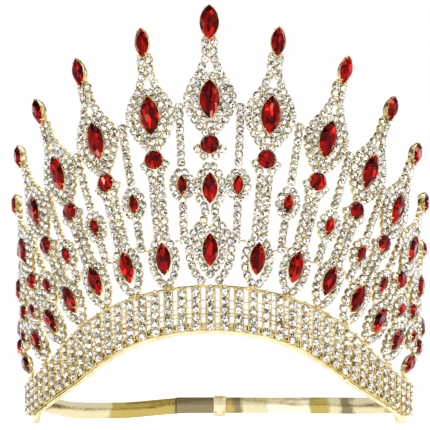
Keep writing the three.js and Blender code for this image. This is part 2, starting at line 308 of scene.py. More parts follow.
class Batch:
    """Closed triangle meshes gathered in millimetres, with flat coordinates for their facets."""

    def __init__(self):
        self.points, self.faces, self.flat, self.total = [], [], [], 0

    def add(self, points, faces, flat=None):
        self.points.append(points)
        self.faces.append(faces + self.total)
        self.flat.append(points[:, :2] if flat is None else flat)
        self.total += len(points)

    def place(self, template, axes, origin, scale=(1, 1, 1)):
        """A copy of a template on a seat, with its facet pattern shifted at random."""
        points, faces = template
        shift = np.array([RNG.uniform(0, 90), RNG.uniform(0, 90)])
        self.add(points * scale @ axes + origin, faces, points[:, :2] * scale[:2] + shift)

    def build(self, name, material, smooth_angle=None):
        points = np.concatenate(self.points) * MM
        faces = np.concatenate(self.faces)
        flat = np.concatenate(self.flat)
        mesh = bpy.data.meshes.new(name)
        mesh.vertices.add(len(points))
        mesh.vertices.foreach_set("co", points.astype(np.float32).ravel())
        mesh.loops.add(faces.size)
        mesh.loops.foreach_set("vertex_index", faces.astype(np.int32).ravel())
        mesh.polygons.add(len(faces))
        mesh.polygons.foreach_set("loop_start", np.arange(0, faces.size, 3, dtype=np.int32))
        mesh.update(calc_edges=True)
        layer = mesh.uv_layers.new(name="facets")
        layer.data.foreach_set("uv", flat[faces.ravel()].astype(np.float32).ravel())
        mesh.polygons.foreach_set("use_smooth", np.full(len(faces), smooth_angle is not None))
        if smooth_angle is not None:
            mesh.set_sharp_from_angle(angle=smooth_angle)
        mesh.validate()
        mesh.materials.append(material)
        piece = bpy.data.objects.new(name, mesh)
        bpy.context.scene.collection.objects.link(piece)
        return piece


def outward(points, faces):
    """The same closed mesh, turned so that its faces look out."""
    a, b, c = (points[faces[:, k]] for k in range(3))
    volume = np.einsum("ij,ij->i", a, np.cross(b, c)).sum()
    return points, (faces if volume > 0 else faces[:, ::-1])


def lofted(rings):
    """A closed mesh through rings of equal length, capped by a fan at each end."""
    rings = np.array(rings, float)
    count, size = rings.shape[:2]
    points = np.concatenate([rings.reshape(-1, 3), [rings[0].mean(0)], [rings[-1].mean(0)]])
    k = np.arange(size)
    after = (k + 1) % size
    faces = []
    for i in range(count - 1):
        low, high = i * size, (i + 1) * size
        faces.append(np.stack([low + k, low + after, high + after], 1))
        faces.append(np.stack([low + k, high + after, high + k], 1))
    first, last = count * size, count * size + 1
    faces.append(np.stack([np.full(size, first), after, k], 1))
    faces.append(np.stack([np.full(size, last), (count - 1) * size + k, (count - 1) * size + after], 1))
    return outward(points, np.concatenate(faces))


def tube(path, radius, sides, ref=(0, 0, 1)):
    """A round wire along points, with closed ends."""
    path = np.array(path, float)
    ref = np.array(ref, float)
    ahead = np.gradient(path, axis=0)
    rings = []
    for point, step in zip(path, ahead):
        step = step / np.linalg.norm(step)
        first = np.cross(step, ref)
        first /= np.linalg.norm(first)
        second = np.cross(step, first)
        turns = np.arange(sides) * 2 * math.pi / sides
        rings.append([point + radius * (math.cos(t) * first + math.sin(t) * second) for t in turns])
    return lofted(rings)


def marquise_point(share, half):
    """A point on a pointed oval of two arcs, from its lower tip up the right side and back down."""
    radius = (half[0] ** 2 + half[1] ** 2) / (2 * half[0])
    reach = math.asin(min(half[1] / radius, 1.0))
    side = 1 if share < 0.5 else -1
    turn = lerp(-reach, reach, (share % 0.5) * 2)
    return side * (radius * math.cos(turn) - radius + half[0]), side * radius * math.sin(turn)


def round_point(share, half):
    return half[0] * math.sin(2 * math.pi * share), -half[1] * math.cos(2 * math.pi * share)


def outline_of(half):
    return round_point if half[0] == half[1] else marquise_point


def brilliant(half, crown, depth, folds):
    """A faceted stone with its girdle at z = 0: table, star, kite and girdle facets, closed behind."""
    at = outline_of(half)
    count = 2 * folds
    girdle = [(*at(k / count, half), 0.0) for k in range(count)]
    middle, top = [], []
    for j in range(folds):
        x, y = at((j + 0.5) / folds, half)
        middle.append((0.82 * x, 0.82 * y, 0.56 * crown))
        x, y = at(j / folds, half)
        top.append((TABLE_SHARE * x, TABLE_SHARE * y, crown))
    points = np.array(girdle + middle + top + [(0, 0, crown), (0, 0, -depth)])
    mid, flat, centre, culet = count, count + folds, count + 2 * folds, count + 2 * folds + 1
    faces = []
    for j in range(folds):
        before, after = (j - 1) % folds, (j + 1) % folds
        g0, g1, g2 = 2 * j, 2 * j + 1, (2 * j + 2) % count
        faces += [(centre, flat + j, flat + after), (flat + j, mid + j, flat + after)]
        faces += [(flat + j, g0, mid + j), (flat + j, mid + before, g0)]
        faces += [(g0, g1, mid + j), (g1, g2, mid + j)]
        faces += [(culet, g1, g0), (culet, g2, g1)]
    return outward(points, np.array(faces))


def collet(half, depth):
    """The metal cup behind a stone, with its lip at the girdle."""
    at = outline_of(half)
    lip, steps = 0.14, 24
    rings = []
    profile = ((-0.7, -depth), (lip * 0.6, -depth * 0.45), (lip, -0.1), (lip * 0.5, 0.0), (-0.12, -0.06))
    for grow, z in profile:
        size = (half[0] + grow, half[1] + grow * (1.0 if half[0] == half[1] else 1.5))
        rings.append([(*at(k / steps, size), z) for k in range(steps)])
    rings.append([(0.3 * x, 0.3 * y, -0.5) for x, y, _ in rings[-1]])
    return lofted(rings)


def claw(stations):
    """A prong with five sides through stations (out, up, radius) in the plane y = 0."""
    sides = 5
    rings = []
    for x, z, radius in stations:
        turns = np.arange(sides) * 2 * math.pi / sides
        rings.append([(x + 0.7 * radius * math.cos(t), radius * math.sin(t), z) for t in turns])
    return lofted(rings)


def spin_matrix(angle):
    """A turn about z, for rows of points."""
    c, s = math.cos(angle), math.sin(angle)
    return np.array([[c, s, 0], [-s, c, 0], [0, 0, 1]])


def turned(template, angle, shift=(0, 0, 0)):
    points, faces = template
    return points @ spin_matrix(angle) + np.array(shift), faces


def merged(templates):
    total, points, faces = 0, [], []
    for template_points, template_faces in templates:
        points.append(template_points)
        faces.append(template_faces + total)
        total += len(template_points)
    return np.concatenate(points), np.concatenate(faces)


# The chain's cup as (radius, height, squareness), its prong and a big stone's claw as (out, up, radius)
CUP_PROFILE = (
    (0.9, -1.5, 0.0),
    (1.44, -1.42, 0.07),
    (1.54, -0.9, 0.1),
    (1.61, -0.1, 0.11),
    (1.53, 0.0, 0.08),
    (1.3, -0.12, 0.0),
)
PRONG_PROFILE = (
    (1.58, -0.7, 0.25),
    (1.66, -0.1, 0.24),
    (1.58, 0.24, 0.22),
    (1.38, 0.42, 0.16),
    (1.24, 0.46, 0.08),
)
CLAW_PROFILE = (
    (0.12, -1.3, 0.32),
    (0.24, -0.3, 0.3),
    (0.2, 0.2, 0.27),
    (0.02, 0.5, 0.2),
    (-0.25, 0.62, 0.08),
)


def cup_template():
    """A squarish bowl with four prongs, for a stone with its girdle at z = 0."""
    steps = 16
    rings = []
    for radius, z, square in CUP_PROFILE:
        ring = []
        for k in range(steps):
            turn = 2 * math.pi * k / steps
            reach = radius * (1 - square * math.cos(4 * turn))
            ring.append((reach * math.cos(turn), reach * math.sin(turn), z))
        rings.append(ring)
    bowl = lofted(rings)
    prong = claw(PRONG_PROFILE)
    return merged([bowl] + [turned(prong, math.radians(45 + 90 * k)) for k in range(4)])


def blob_template():
    """A low, round ball, for lumps of solder."""
    made = bmesh.new()
    bmesh.ops.create_icosphere(made, subdivisions=2, radius=1.0)
    bmesh.ops.triangulate(made, faces=made.faces)
    points = np.array([vertex.co[:] for vertex in made.verts])
    faces = np.array([[vertex.index for vertex in face.verts] for face in made.faces])
    made.free()
    return points, faces


CUP = cup_template()
CHATON = brilliant((CRYSTAL, CRYSTAL), CRYSTAL_CROWN, CRYSTAL_DEPTH, 8)
BLOB = blob_template()
CLAW = claw(CLAW_PROFILE)


# ---- chains, settings and wires ----


def spaced(path, closed=False, ends=True):
    """Even stations (u, v, heading) along a flat path."""
    path = [tuple(point) for point in path]
    if closed:
        path.append(path[0])
    points = np.array(path)
    steps = np.linalg.norm(np.diff(points, axis=0), axis=1)
    run = np.concatenate([[0], np.cumsum(steps)])
    total = run[-1]
    count = max(1, round(total / PITCH))
    if closed:
        marks = np.arange(count) * total / count
    elif ends:
        marks = np.linspace(0, total, count + 1)
    else:
        marks = (np.arange(count) + 0.5) * total / count
    stations = []
    for mark in marks:
        u, v = np.interp(mark, run, points[:, 0]), np.interp(mark, run, points[:, 1])
        near, far = max(mark - 0.6, 0), min(mark + 0.6, total)
        du = np.interp(far, run, points[:, 0]) - np.interp(near, run, points[:, 0])
        dv = np.interp(far, run, points[:, 1]) - np.interp(near, run, points[:, 1])
        stations.append((u, v, math.atan2(du, dv)))
    return stations


def wire(metal, start, end, radius, w, sides=6):
    """A short straight wire between two pattern points."""
    a, b = wrapped(*start, w), wrapped(*end, w)
    steep = abs(b[2] - a[2]) > 0.9 * np.linalg.norm(b - a)
    metal.add(*tube([a, b], radius, sides, (0, 1, 0) if steep else (0, 0, 1)))


def solder(metal, place, size, w):
    """A small irregular lump of solder."""
    axes, origin = seat(*place, w, RNG.uniform(0, math.pi))
    scale = [size * RNG.uniform(0.75, 1.2) for _ in range(3)]
    metal.place(BLOB, axes, origin, (scale[0], scale[1], 0.7 * scale[2]))


def tilted(spread):
    """A small random tilt of a setting's axes."""
    tilt_x, tilt_y = RNG.gauss(0, spread), RNG.gauss(0, spread)
    return np.array([[1, 0, -tilt_x], [0, 1, -tilt_y], [tilt_x, tilt_y, 1]])


def lay_chain(metal, stones, stations, closed=False, size=1.0):
    """Cups and stones at each station, and the links behind them."""
    for u, v, heading in stations:
        u, v = u + RNG.gauss(0, SET_WANDER), v + RNG.gauss(0, SET_WANDER)
        lift = GIRDLE + RNG.gauss(0, SET_WANDER)
        axes, origin = seat(u, v, lift, heading + RNG.gauss(0, SET_WANDER))
        axes = tilted(CRYSTAL_TILT) @ axes
        metal.place(CUP, axes, origin, (size, size, 1))
        spun = spin_matrix(RNG.uniform(0, math.pi / 4))
        stones.place(CHATON, spun @ axes, origin, (size, size, 1))
    pairs = list(zip(stations, stations[1:]))
    if closed:
        pairs.append((stations[-1], stations[0]))
    for first, second in pairs:
        wire(metal, first[:2], second[:2], LINK_WIRE, GIRDLE + LINK_WIRE_DEPTH, 5)


def set_stone(metal, gems, place, heading, stone):
    """A red stone in its collet with claws, standing at a pattern point."""
    half = stone.half
    axes, origin = seat(*place, stone.girdle, heading)
    axes = tilted(STONE_TILT) @ axes
    gems.place(brilliant(half, stone.crown, CULET_SHARE * stone.depth, stone.folds), axes, origin)
    metal.place(collet(half, stone.depth), axes, origin)
    at = outline_of(half)
    for share in stone.claws:
        x, y = at(share, half)
        before, after = at(share - 0.01, half), at(share + 0.01, half)
        facing = math.atan2(before[0] - after[0], after[1] - before[1])
        metal.place(turned(CLAW, facing, (x, y, 0)), axes, origin)


def local_path(spire, points, side=1):
    """Pattern points from (across, reach) points on a spire, mirrored for its other side."""
    return [up(spire, reach, side * across) for across, reach in points]


def heights(start, end):
    count = max(2, int(abs(end - start) / PATH_STEP) + 1)
    return np.linspace(start, end, count)


def leaf_path(spire, top_stone):
    """The outer chain of a leaf on its right: down the neck, round the leaf, in to the tip."""
    leaf, neck_top = spire["leaf"], spire["top"] - top_stone.half[1] - 0.85
    path = []
    for y in heights(neck_top - leaf, LEAF_TIP):
        neck = NECK_HALF + NECK_SPREAD * (1 - smooth(y, *NECK_JOIN)) if y > 0 else 0
        bulge = lens(y, *LEAF_OUTER, 1.0, 1.6) if y > 0 else lens(y, *LEAF_OUTER, 0.86, 1.7)
        path.append((max(bulge, neck), leaf + y))
    return path


def oval(spire, middle, half_width, half_length, fullness=0.85):
    """A closed pointed ring about a stone."""
    turns = np.linspace(0, 2 * math.pi, 120, endpoint=False)
    points = []
    for turn in turns:
        y = -half_length * math.cos(turn)
        x = lens(y, half_width, half_length, fullness)
        points.append((x if math.sin(turn) >= 0 else -x, middle + y))
    return local_path(spire, points)


def lower_path(spire):
    """A side spire's lower chain on its right: the wing, the stem, and round the lower stone."""
    waist = spire["round"]
    path = [(3.9, waist - 1.9), (1.75, waist - 5.1)]
    end = LOW_RING_END if spire["rise"] == FOOT_RISE else LOW_STONE.half[1] + 1.3
    for y in heights(waist - 7.9, end):
        if y > end or end < 0:
            ring = lens(y, *LOW_RING_UPPER, 0.95) if y > 0 else lens(y, *LOW_RING_LOWER, 0.8, 2.2)
            path.append((max(ring, STEM_HALF if y > 0 else 0), y))
    return path


def dress_head(metal, stones, gems, spire, top_stone):
    """A spire's upper half: neck, leaf, and its top, leaf and round stones."""
    for side in (-1, 1):
        lay_chain(metal, stones, spaced(local_path(spire, leaf_path(spire, top_stone), side)))
    ring = oval(spire, spire["leaf"], *LEAF_INNER, 1.0)
    lay_chain(metal, stones, spaced(ring, closed=True), closed=True)
    for key, stone in (("top", top_stone), ("leaf", LEAF_STONE), ("round", ROUND_STONE)):
        set_stone(metal, gems, up(spire, spire[key]), spire["lean"], stone)
    for side in (-1, 1):
        foot = up(spire, spire["top"] - top_stone.half[1] + 0.9, side * 1.9)
        solder(metal, foot, 0.75, 0.3)
    wire(metal, up(spire, spire["leaf"] - 12.4), up(spire, spire["round"] + 3.2), *HEAVY_WIRE)


def dress_link(metal, stones, gems, index, side):
    """The chain and the small stone between a spire and the one inside it."""
    outer, inner = spire_at(index, side), spire_at(index - 1, side)
    outer_leaf, inner_leaf = up(outer, outer["leaf"]), up(inner, inner["leaf"])
    hook = tuple(lerp(a, b, 0.5) for a, b in zip(outer_leaf, inner_leaf))
    middle = (outer["lean"] + inner["lean"]) / 2
    foot = (
        lerp(inner["foot"][0], outer["foot"][0], LINK_FOOT_SHARE) + LINK_FOOT_RISE * math.sin(middle),
        lerp(inner["foot"][1], outer["foot"][1], LINK_FOOT_SHARE) + LINK_FOOT_RISE * math.cos(middle),
    )
    lean = math.atan2(hook[0] - foot[0], hook[1] - foot[1])
    line = {"foot": foot, "lean": lean}
    reach = max(LINK_REACH - LINK_REACH_STEP * (index - 1), LINK_SHORTEST)
    length = math.dist(foot, hook)
    span = math.dist(outer_leaf, inner_leaf)
    share = LEAF_EDGE / span
    joint = [tuple(lerp(a, b, s) for a, b in zip(inner_leaf, outer_leaf)) for s in (share, 1 - share)]
    if span > CHAIN_SPAN:
        lay_chain(metal, stones, spaced(joint, ends=False))
    else:
        solder(metal, hook, 1.1, -0.1)
    wire(metal, joint[0], joint[1], *JOINT_WIRE)
    set_stone(metal, gems, up(line, reach), lean, SMALL_STONE)
    lay_chain(metal, stones, spaced(oval(line, reach, *SMALL_RING), closed=True), closed=True)
    for start, end in ((reach + SMALL_RING_REACH, length - 2.6), (reach - SMALL_RING_REACH, 0.4)):
        if abs(end - start) > 1 and (end - start > 0) == (end > reach):
            lay_chain(metal, stones, spaced(local_path(line, [(0, start), (0, end)])))
    for spire in (inner, outer):
        near = min(
            (up(spire, y, s * 5.2) for y in (-3.0, 0.0, 3.0, 6.0) for s in (-1, 1)),
            key=lambda place: math.dist(place, foot),
        )
        wire(metal, foot, near, *FINE_WIRE)
        solder(metal, near, 0.6, -0.2)
    solder(metal, foot, 0.8, -0.3)


def dress_foot(metal, spire):
    """The post and solder that hold a side spire on the rail."""
    rise, normal = spire["rise"], spire["normal"]
    foot = spire["foot"]
    rail = (foot[0] - (rise - 0.3) * math.sin(normal), foot[1] - (rise - 0.3) * math.cos(normal))
    low = up(spire, -8.6 if rise == FOOT_RISE else -5.5)
    wire(metal, low, rail, *FOOT_WIRE)
    solder(metal, rail, 1.05, -0.3)
    for side in (-1, 1):
        solder(metal, (rail[0] + side * 1.5, rail[1] - 0.15), 0.7, -0.2)


def side_spire(index, side):
    """A side spire with the link on its inner side, as batches of metal, clear stones and red stones."""
    spire = spire_at(index, side)
    metal, stones, gems = Batch(), Batch(), Batch()
    dress_head(metal, stones, gems, spire, TOP_STONE)
    for hand in (-1, 1):
        lay_chain(metal, stones, spaced(local_path(spire, lower_path(spire), hand)))
    set_stone(metal, gems, spire["foot"], spire["lean"], LOW_STONE)
    dress_link(metal, stones, gems, index, side)
    dress_foot(metal, spire)
    return metal, stones, gems


def centre_spire():
    """The centre spire, which has a middle ring and a wide two-row ring at its foot."""
    spire = spire_at(0, 1)
    metal, stones, gems = Batch(), Batch(), Batch()
    dress_head(metal, stones, gems, spire, CENTRE_TOP_STONE)
    waist, mid = spire["round"], spire["mid"]
    for side in (-1, 1):
        wing = [(4.3, waist - 1.7), (2.1, waist - 4.1)]
        lay_chain(metal, stones, spaced(local_path(spire, wing, side)))
        path = []
        for y in heights(*CENTRE_LOW_ENDS):
            neck = 1.75 + 0.5 * (1 - smooth(y, 11.0, CENTRE_LOW_ENDS[0])) if y > 0 else 0
            size = CENTRE_LOW_UPPER if y > 0 else CENTRE_LOW_LOWER
            path.append((max(lens(y, *size, 0.8, 2.2), neck), y))
        lay_chain(metal, stones, spaced(local_path(spire, path, side)))
        post = side * CENTRE_POST
        wire(metal, (post, spire["foot"][1] - 11.0), (post, ARCH_TOP - 0.4), *HEAVY_WIRE)
        solder(metal, (post, ARCH_TOP + 0.4), 1.1, -0.2)
    open_below = spire["foot"][1] + mid - 6.8
    ring = [point for point in oval(spire, mid, *MID_RING, 0.95) if point[1] > open_below]
    start = max(range(len(ring)), key=lambda k: math.dist(ring[k], ring[k - 1]))
    lay_chain(metal, stones, spaced(ring[start:] + ring[:start]))
    lay_chain(metal, stones, spaced(oval(spire, 0, *CENTRE_LOW_INNER, 1.0), closed=True), closed=True)
    set_stone(metal, gems, up(spire, mid), 0, MID_STONE)
    set_stone(metal, gems, up(spire, 0), 0, CENTRE_LOW_STONE)
    return metal, stones, gems


def arch_tube(metal, height, radius, w):
    """A wire along the whole arch, at a height over its top rail that depends on the run."""
    path = []
    for run in np.linspace(-BAND_END, BAND_END, 201):
        u, v, _ = arch_point(run, height(run))
        path.append(wrapped(u, v, w))
    metal.add(*tube(path, radius, 8))


def base_band():
    """Columns of chain between two rails, with side wires, cross wires and beads of solder."""
    metal, stones = Batch(), Batch()
    arch_tube(metal, lambda run: -RAIL, RAIL, -0.45)
    arch_tube(metal, lambda run: -band_depth(run) + 0.1, 0.3, -0.9)
    count = int(BAND_END // COLUMN_PITCH)
    for i in range(-count, count + 1):
        run = i * COLUMN_PITCH
        depth = band_depth(run)
        rows = max(4, round((depth - 0.9) / PITCH))
        pitch = (depth - 1.0) / rows
        stations = []
        for row in range(rows):
            stations.append(arch_point(run, -COLUMN_TOP - pitch * (row + 0.5)))
        lay_chain(metal, stones, stations, size=min(1.06, pitch / COLUMN_FULL_SIZE))
        solder(metal, arch_point(run, -0.4)[:2], 0.7, 0.0)
        for edge in (-COLUMN_SIDE, COLUMN_SIDE):
            ends = [arch_point(run + edge, -share * depth)[:2] for share in (0.04, 0.97)]
            wire(metal, ends[0], ends[1], *COLUMN_WIRE)
        if i == count:
            continue
        beads = smooth(abs(run + COLUMN_PITCH / 2), *BEAD_RUNS) * depth / BEAD_PITCH
        for k in range(round(beads)):
            share = (k + 0.6) / beads
            spot = arch_point(run + COLUMN_PITCH / 2 + RNG.gauss(0, 0.1), -share * depth)
            solder(metal, spot[:2], RNG.uniform(0.4, 0.65), -0.3)
        for share, radius in CROSS_WIRES:
            jitter = RNG.uniform(-0.3, 0.3)
            ends = []
            for step in (0.6, COLUMN_PITCH - 0.6):
                height = -share * depth + jitter + RNG.uniform(-0.2, 0.2)
                ends.append(arch_point(run + step, height)[:2])
            wire(metal, ends[0], ends[1], radius, RNG.uniform(-0.7, -0.4))
        for share in (0.05, 0.95):
            spot = arch_point(run + COLUMN_PITCH * RNG.uniform(0.35, 0.65), -share * depth)
            solder(metal, spot[:2], RNG.uniform(0.35, 0.65), -0.4)
    return metal, stones


# ---- polished strips ----


def rounded_section(width, thick, corner, steps=3):
    """Points round a flat bar's section, (x, y), with rounded edges."""
    points = []
    for sx, sy, start in ((1, 1, 0), (-1, 1, 90), (-1, -1, 180), (1, -1, 270)):
        for k in range(steps + 1):
            turn = math.radians(start + 90 * k / steps)
            x = sx * (width / 2 - corner) + corner * math.cos(turn)
            y = sy * (thick / 2 - corner) + corner * math.sin(turn)
            points.append((x, y))
    return points


def foot_drop(u):
    """How far the strip's lower edge has come down to the table: 0 along the arch, 1 on a foot's sole."""
    inner = clamp((u - FOOT_TOP_RUNS[0]) / (FOOT_SOLE_RUNS[0] - FOOT_TOP_RUNS[0]), 0, 1)
    outer = clamp((FOOT_TOP_RUNS[1] - u) / (FOOT_TOP_RUNS[1] - FOOT_SOLE_RUNS[1]), 0, 1)
    return min(math.sin(inner * math.pi / 2) ** 0.8, math.sin(outer * math.pi / 2) ** 0.7)


def arched_strip():
    """The polished strip behind the band's lower edge, with a rounded foot near each end."""
    metal = Batch()
    corner = STRIP_CORNER
    section = rounded_section(1.0, STRIP_FRONT - STRIP_BACK, corner)
    middle = (STRIP_BACK + STRIP_FRONT) / 2
    rings = []
    for run in np.linspace(-STRIP_END, STRIP_END, 461):
        low_u, low_v, _ = arch_point(run, -band_depth(run) - STRIP_SHOW)
        high_u, high_v, _ = arch_point(run, -band_depth(run) + STRIP_TUCK)
        drop = foot_drop(abs(low_u))
        low_v -= drop * wrapped(low_u, low_v, middle)[2]
        tall = math.dist((low_u, low_v), (high_u, high_v))
        ring = []
        for x, y in section:
            edge = clamp((x + 0.5 - corner) / (1 - 2 * corner), 0, 1)
            inset = min(corner, corner - (0.5 - abs(x))) / tall
            share = lerp(corner / tall, 1 - corner / tall, edge)
            share += math.copysign(inset, x) if abs(x) > 0.2 else 0
            ring.append(wrapped(lerp(low_u, high_u, share), lerp(low_v, high_v, share), middle + y))
        rings.append(ring)
    metal.add(*lofted(rings))
    return metal


def left_bottom(turn):
    """The left half sags nearly to the table between the side and the back."""
    low = lerp(SPRING_SIDE_BOTTOM, SPRING_SAG_BOTTOM, smooth(turn, *SAG_TURNS))
    return lerp(low, SPRING_BACK_BOTTOM, smooth(turn, *LIFT_TURNS))


def right_bottom(turn):
    """The right half runs nearly level."""
    return lerp(SPRING_SIDE_BOTTOM, SPRING_BACK_BOTTOM, smooth(turn, 0, math.radians(40)))


def spring_half(side, radius, reach, bottom_at):
    """Half of the spring band, an arc from inside the foot to past the keeper, with rounded edges."""
    metal = Batch()
    section = rounded_section(SPRING_HEIGHT, SPRING_THICK, SPRING_CORNER)
    rings = []
    for turn in np.linspace(SPRING_START, reach, 180):
        wave = 0.1 * math.sin(3 * turn) * math.sin(11 * turn + side) + 0.05 * math.sin(23 * turn)
        free = smooth(turn, 0.3, 0.8) * (1 - smooth(turn, 1.25, 1.45))
        middle = bottom_at(turn) + SPRING_HEIGHT / 2
        ring = []
        for height, out in section:
            arm = radius + out + wave * free
            ring.append((side * arm * math.cos(turn), AXIS_Y + arm * math.sin(turn), middle + height))
        rings.append(ring)
    metal.add(*lofted(rings))
    return metal


def keeper(outer, inner):
    """The sleeve round both laps: a rounded, slightly skewed loop with lumps of solder."""
    metal = Batch()
    slot = (SPRING_HEIGHT + 0.7, outer - inner + SPRING_THICK + 2 * SLIDE_GAP)
    size = (KEEPER_SIZE[2] - 0.2, KEEPER_SIZE[1])
    half = KEEPER_SIZE[0] / 2
    middle = (outer + inner) / 2
    centre_z = KEEPER_BOTTOM + KEEPER_SIZE[2] / 2
    slot_z = SPRING_BACK_BOTTOM + SPRING_HEIGHT / 2 - centre_z
    loops = []
    outer_loop = rounded_section(size[0], size[1], 1.1, 5)
    inner_loop = [(x + slot_z, y) for x, y in rounded_section(slot[0], slot[1], 0.25, 5)]
    for along, inset in ((-half, 0.35), (0.35 - half, 0), (half - 0.35, 0), (half, 0.35)):
        loops.append([(along, y * (1 - inset / 2), x * (1 - inset / 4.5)) for x, y in outer_loop])
    for along in (half, -half):
        loops.append([(along, y, x) for x, y in inner_loop])
    rings = np.array(loops)
    count, ring_size = rings.shape[:2]
    k = np.arange(ring_size)
    after = (k + 1) % ring_size
    faces = []
    for i in range(count):
        low, high = i * ring_size, (i + 1) % count * ring_size
        faces.append(np.stack([low + k, low + after, high + after], 1))
        faces.append(np.stack([low + k, high + after, high + k], 1))
    points = rings.reshape(-1, 3)
    points[:, 0] += points[:, 2] * math.tan(KEEPER_SKEW)
    points, faces = outward(points, np.concatenate(faces))
    parts = [(points, faces)]
    for x, z, side, scale in KEEPER_LUMPS:
        lump = BLOB[0] * np.array([1.0, 0.62, 0.85]) * scale
        parts.append((lump + np.array([x, side * (size[1] / 2 - 0.25), z]), BLOB[1]))
    points, faces = merged(parts)
    points = points + np.array([0, middle, centre_z])
    metal.add(points @ spin_matrix(KEEPER_TURN) + np.array([0, AXIS_Y, 0]), faces)
    return metal


# ---- materials ----


BRUSHED = (0.35, 0.7)


def new_material(name):
    """A fresh material with its nodes, its links and its Principled shader."""
    material = bpy.data.materials.new(name)
    material.use_nodes = True
    tree = material.node_tree
    return material, tree.nodes, tree.links, tree.nodes["Principled BSDF"]


def noise(nodes, links, vector, scale, detail=3.0):
    node = nodes.new("ShaderNodeTexNoise")
    node.inputs["Scale"].default_value = scale
    node.inputs["Detail"].default_value = detail
    links.new(vector, node.inputs["Vector"])
    return node.outputs["Fac"]


def ramp(nodes, links, fac, stops, constant=False):
    """Tones by a value, blended between the stops or in steps."""
    node = nodes.new("ShaderNodeValToRGB")
    node.color_ramp.interpolation = "CONSTANT" if constant else "LINEAR"
    elements = node.color_ramp.elements
    while len(elements) < len(stops):
        elements.new(1.0)
    for element, (place, color) in zip(elements, stops):
        element.position = place
        element.color = (*color, 1.0)
    links.new(fac, node.inputs["Fac"])
    return node.outputs["Color"]


def grey(value):
    return (value, value, value)


def worn(nodes, links, shader, place, scale, low, high):
    """Roughness between two values, in fine streaks of handling."""
    wear = noise(nodes, links, place, scale, 5.0)
    stops = list(zip(BRUSHED, (grey(low), grey(high))))
    links.new(ramp(nodes, links, wear, stops), shader.inputs["Roughness"])


def gilt(name, pale, deep, roughness, grain):
    """Polished gilt: uneven tone, fine handling scratches and a slightly rippled surface."""
    material, nodes, links, shader = new_material(name)
    place = nodes.new("ShaderNodeTexCoord").outputs["Object"]
    tone = noise(nodes, links, place, 260.0)
    links.new(ramp(nodes, links, tone, [(0.36, deep), (0.6, pale)]), shader.inputs["Base Color"])
    worn(nodes, links, shader, place, 900.0, *roughness)
    bump = nodes.new("ShaderNodeBump")
    bump.inputs["Strength"].default_value = grain
    bump.inputs["Distance"].default_value = 0.0001
    links.new(noise(nodes, links, place, 1500.0, 4.0), bump.inputs["Height"])
    links.new(bump.outputs["Normal"], shader.inputs["Normal"])
    shader.inputs["Metallic"].default_value = 1.0
    return material


def foiled_painted_facets(name, tones, cell, scatter, metallic, stretch, coat):
    """Foil-backed cut glass: each cell of the pattern, in millimetres, has its own tilt and its own
    painted tone, dark to bright, for the reflections inside the facets.
    """
    material, nodes, links, shader = new_material(name)
    place = nodes.new("ShaderNodeUVMap")
    place.uv_map = "facets"
    scale = nodes.new("ShaderNodeMapping")
    scale.inputs["Scale"].default_value = (1.0 / cell, 1.0 / (cell * stretch), 1.0)
    links.new(place.outputs["UV"], scale.inputs["Vector"])
    cells = nodes.new("ShaderNodeTexVoronoi")
    cells.voronoi_dimensions = "2D"
    cells.inputs["Scale"].default_value = 1.0
    links.new(scale.outputs["Vector"], cells.inputs["Vector"])
    split = nodes.new("ShaderNodeSeparateColor")
    links.new(cells.outputs["Color"], split.inputs["Color"])
    # painted reflections: each cell's base tone, dark to bright, stands for light and shade reflected
    # inside the stone
    links.new(ramp(nodes, links, split.outputs["Blue"], tones, True), shader.inputs["Base Color"])
    centred = nodes.new("ShaderNodeVectorMath")
    centred.operation = "SUBTRACT"
    centred.inputs[1].default_value = (0.5, 0.5, 0.5)
    links.new(cells.outputs["Color"], centred.inputs[0])
    scaled = nodes.new("ShaderNodeVectorMath")
    scaled.operation = "SCALE"
    scaled.inputs["Scale"].default_value = scatter
    links.new(centred.outputs["Vector"], scaled.inputs[0])
    geometry = nodes.new("ShaderNodeNewGeometry")
    total = nodes.new("ShaderNodeVectorMath")
    total.operation = "ADD"
    links.new(geometry.outputs["Normal"], total.inputs[0])
    links.new(scaled.outputs["Vector"], total.inputs[1])
    unit = nodes.new("ShaderNodeVectorMath")
    unit.operation = "NORMALIZE"
    links.new(total.outputs["Vector"], unit.inputs[0])
    links.new(unit.outputs["Vector"], shader.inputs["Normal"])
    shader.inputs["Metallic"].default_value = metallic
    shader.inputs["Roughness"].default_value = 0.06
    shader.inputs["Coat Weight"].default_value = coat
    shader.inputs["Coat Roughness"].default_value = 0.02
    shader.inputs["Coat IOR"].default_value = 1.5
    return material


# Tones of the spring band's painted reflections: cream and pale for mirrored light, golden and dark taupe
# for mirrored shade
REFLECTED_CREAM = (0.66, 0.6, 0.38)
REFLECTED_PALE = (0.84, 0.8, 0.62)
REFLECTED_GOLDEN = (0.46, 0.35, 0.1)
REFLECTED_TAUPE = (0.24, 0.2, 0.11)
# The spring band's painted reflections, as patches of tone: where each starts, in millimetres to the
# right of the middle
STRIP_PAINTED_REFLECTIONS = (
    (-80.0, REFLECTED_CREAM),
    (-52.0, REFLECTED_GOLDEN),
    (-24.0, REFLECTED_TAUPE),
    (-4.5, REFLECTED_GOLDEN),
    (2.0, REFLECTED_TAUPE),
    (6.5, REFLECTED_CREAM),
    (18.0, REFLECTED_PALE),
    (36.5, REFLECTED_GOLDEN),
    (45.0, REFLECTED_CREAM),
    (50.5, REFLECTED_TAUPE),
    (56.0, REFLECTED_CREAM),
    (69.0, REFLECTED_GOLDEN),
)
STRIP_HALF_SPAN = 80.0
PATCH_EDGE = 1.0
PATCH_RAGGED = 8.0


def painted_reflection_stops():
    """The painted reflection patches as ramp stops across the band, two to each soft edge."""
    stops = [(0.0, STRIP_PAINTED_REFLECTIONS[0][1])]
    for (_, before), (place, after) in zip(STRIP_PAINTED_REFLECTIONS, STRIP_PAINTED_REFLECTIONS[1:]):
        for shift, tone in ((-PATCH_EDGE, before), (PATCH_EDGE, after)):
            stops.append((0.5 + (place + shift) / (2 * STRIP_HALF_SPAN), tone))
    return stops


